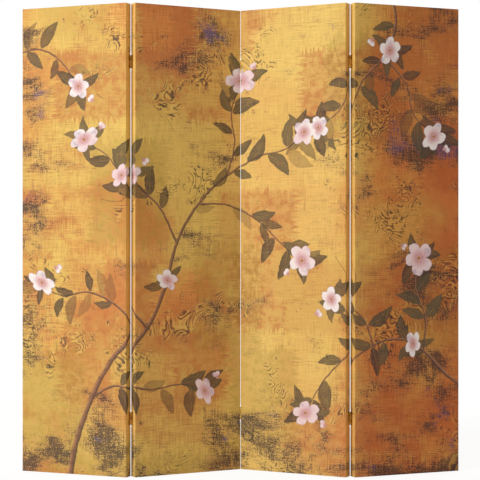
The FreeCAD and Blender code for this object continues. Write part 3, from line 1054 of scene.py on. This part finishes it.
def screwMesh():
    # a low domed head with a cross cut into it, its foot in the leaf's hole
    count, head, shank = screw["rounds"], screw["headRadius"], screw["shankRadius"]
    w, r = screw["slot"], screw["slotReach"]
    arm = [(r, -w), (r, 0), (r, w), ((r + w) / 2, w), (w, w), (w, (r + w) / 2)]
    cross = [complex(*p) * 1j ** quarter for quarter in range(4) for p in arm]
    cross = cross[1:] + cross[:1]  # so that its arms face the same way as the circle's points
    floor, share = domeHeight(0) - screw["slotDepth"], screw["slotFloorShare"]
    rings = [[(p.real * share, p.imag * share, floor) for p in cross],
             [(p.real, p.imag, domeHeight(abs(p))) for p in cross]]
    circles = [(head * share, domeHeight(head * share)) for share in screw["domeShares"]]
    circles += [(head, screw["headFoot"]), (shank, screw["headFoot"]), (shank, -screw["shankLength"])]
    for radius, height in circles:
        rings.append([(*(radius * towards(2 * math.pi * n / count)), height) for n in range(count)])
    number = np.arange(len(rings) * count).reshape(-1, count)
    around = np.column_stack([number, number[:, 0]])
    ends = [number[0].tolist(), number[-1][::-1].tolist()]
    return meshOf("screwHead", [p for ring in rings for p in ring], cellsOf(around).tolist() + ends)


def screwTree():
    tree, given, identifiers = newTree("screwRow", {"Screw": "Object", "Pitch": "Float"})
    start, step = joined(0, 0, given["Pitch"] * -0.5), joined(0, 0, given["Pitch"])
    line = {"Count": 2, "Start Location": start, "Offset": step}
    pair = addNode(tree, "GeometryNodeMeshLine", line)
    spots = given["Geometry"].node("GeometryNodeInstanceOnPoints", {"Instance": pair})
    spots = spots.node("GeometryNodeRealizeInstances")
    facing = addNode(tree, "GeometryNodeInputNamedAttribute", {"Name": "facing"}, data_type="FLOAT_VECTOR")
    outward = addNode(tree, "FunctionNodeAlignRotationToVector", {"Vector": facing}, axis="Z")
    turned = spun(outward, 0.0, math.pi, given["Seed"], "LOCAL")
    head = addNode(tree, "GeometryNodeObjectInfo", {"Object": given["Screw"]}, "Geometry")
    finishTree(given, spots, head, turned)
    return tree, identifiers


def leafSpots(number):
    # the middle of each leaf's row of screws on this panel, and the way the leaf faces
    spots, ways = [], []
    for fold in folds.values():
        for held, other, sign in (("left", "right", -1), ("right", "left", 1)):
            if fold[held] != number:
                continue
            inward = 1 if fold["edge"] == "front" else -1
            side = sign * (screen["halfGap"] - hinge["leafThickness"])
            row = ownPin(other, fold["edge"]) + Vector((side, inward * hinge["screwRow"], 0))
            for height in hingeHeights:
                spots.append(places[number] @ (row + Vector((0, 0, height))))
                ways.append(places[number].to_3x3() @ Vector((-sign, 0, 0)))
    return spots, ways


template = putInScene("screwTemplate", screwMesh())
tree, identifiers = screwTree()
screws = {}
for number in places:
    spots, ways = leafSpots(number)
    base = meshOf("spots", spots)
    setAttribute(base, "facing", np.array(ways))
    values = {"Screw": template, "Pitch": hinge["screwPitch"], "Seed": number, "Material": brass}
    screws[number] = grow(f"hingeScrews{number}", base, tree, identifiers, values, Matrix.Identity(4))
bpy.data.objects.remove(template)
print("screws made,", len(screws[1].data.polygons), "faces on panel 1")

# the carried nodes get their finish
pines = {(grain, number): pineMaterial(grain, number) for grain in timber["grains"] for number in places}
for name, node in frame["nodes"].items():
    if name.endswith("canvas"):
        continue
    if name.startswith("fold"):
        finishing = brass
    else:
        finishing = pines["Upright" if name.endswith("stile") else "Level", int(name[len("panel_")])]
    for slot in node.material_slots:
        slot.material = finishing

# every piece rides its panel
for number in places:
    body = f"panel_{number}"
    for piece in (frontCanvases[number], backCanvases[number], staples[number], screws[number]):
        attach(piece, body)
    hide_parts(f"{body}_front_canvas")
    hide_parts(f"{body}_back_canvas")
print("pieces ride their panels")

# floor, light and background
studio = {
    "floorSize": 60.0,
    "floorDrop": 0.0006,
    "floorGrey": 0.80,
    # near the screen, and where the floor has run out into the background
    "floorFade": (1.2, 4.0),
    "floorGlow": (1.10, 1.0),
    "floorSeen": (0.80, 1.0),  # how much of the glow the camera sees; the rest is lit floor
    "worldColour": (0.45, 0.42, 0.37),
    "lampAim": (0, 0, 0.9),
    "lampSize": 3.4,
    "lamps": {"key": ((-6.2, -5.2, 4.0), 480.0), "backFill": ((4.5, 6.0, 3.6), 130.0)},
}
whitePaint = (1, 1, 1, 1)


def mixByView(tree, output, lit, glow, share):
    # the camera and mirrors see the glow, and everything else meets what is lit
    ray = addNode(tree, "ShaderNodeLightPath", output="Is Camera Ray")
    seen = ray.larger(ray.other("Is Glossy Ray")).larger(ray.other("Is Transmission Ray"))
    mixed = (seen * share).node("ShaderNodeMixShader", {1: lit, 2: glow})
    feed(tree.nodes.new(output), {0: mixed})


def makeFloor():
    half, low = studio["floorSize"] / 2, -studio["floorDrop"]
    corners = [(-half, -half, low), (half, -half, low), (half, half, low), (-half, half, low)]
    floor = putInScene("floor", meshOf("floor", corners, [(0, 1, 2, 3)]))
    material, tree = newMaterial("paleFloor")
    tree.nodes.clear()
    lit = addNode(tree, "ShaderNodeBsdfDiffuse", {"Color": (studio["floorGrey"],) * 3 + (1,)})
    # the floor runs out into the white background a few metres away
    place = addNode(tree, "ShaderNodeTexCoord", output="Object")
    away = place.node("ShaderNodeVectorMath", output="Value", operation="LENGTH")
    strength = away.ramp(*studio["floorFade"], *studio["floorGlow"])
    glow = addNode(tree, "ShaderNodeEmission", {"Color": whitePaint, "Strength": strength})
    seen = away.ramp(*studio["floorFade"], *studio["floorSeen"])
    mixByView(tree, "ShaderNodeOutputMaterial", lit, glow, seen)
    floor.data.materials.append(material)


def makeWorld():
    world = bpy.data.worlds.new("studio")
    world.use_nodes = True
    tree = world.node_tree
    tree.nodes.clear()
    soft, white = (addNode(tree, "ShaderNodeBackground", {"Color": paint, "Strength": 1.0})
                   for paint in (studio["worldColour"] + (1,), whitePaint))
    mixByView(tree, "ShaderNodeOutputWorld", soft, white, 1.0)
    bpy.context.scene.world = world


def makeLamp(name, place, power):
    lamp = putInScene(name, bpy.data.lights.new(name, "AREA"))
    lamp.data.size = studio["lampSize"]
    lamp.data.energy = power
    lamp.location = place
    lamp.rotation_euler = (Vector(studio["lampAim"]) - Vector(place)).to_track_quat("-Z", "Y").to_euler()


makeFloor()
makeWorld()
for name, (place, power) in studio["lamps"].items():
    makeLamp(name, place, power)
bpy.context.scene.view_settings.view_transform = "Standard"
print("studio made")
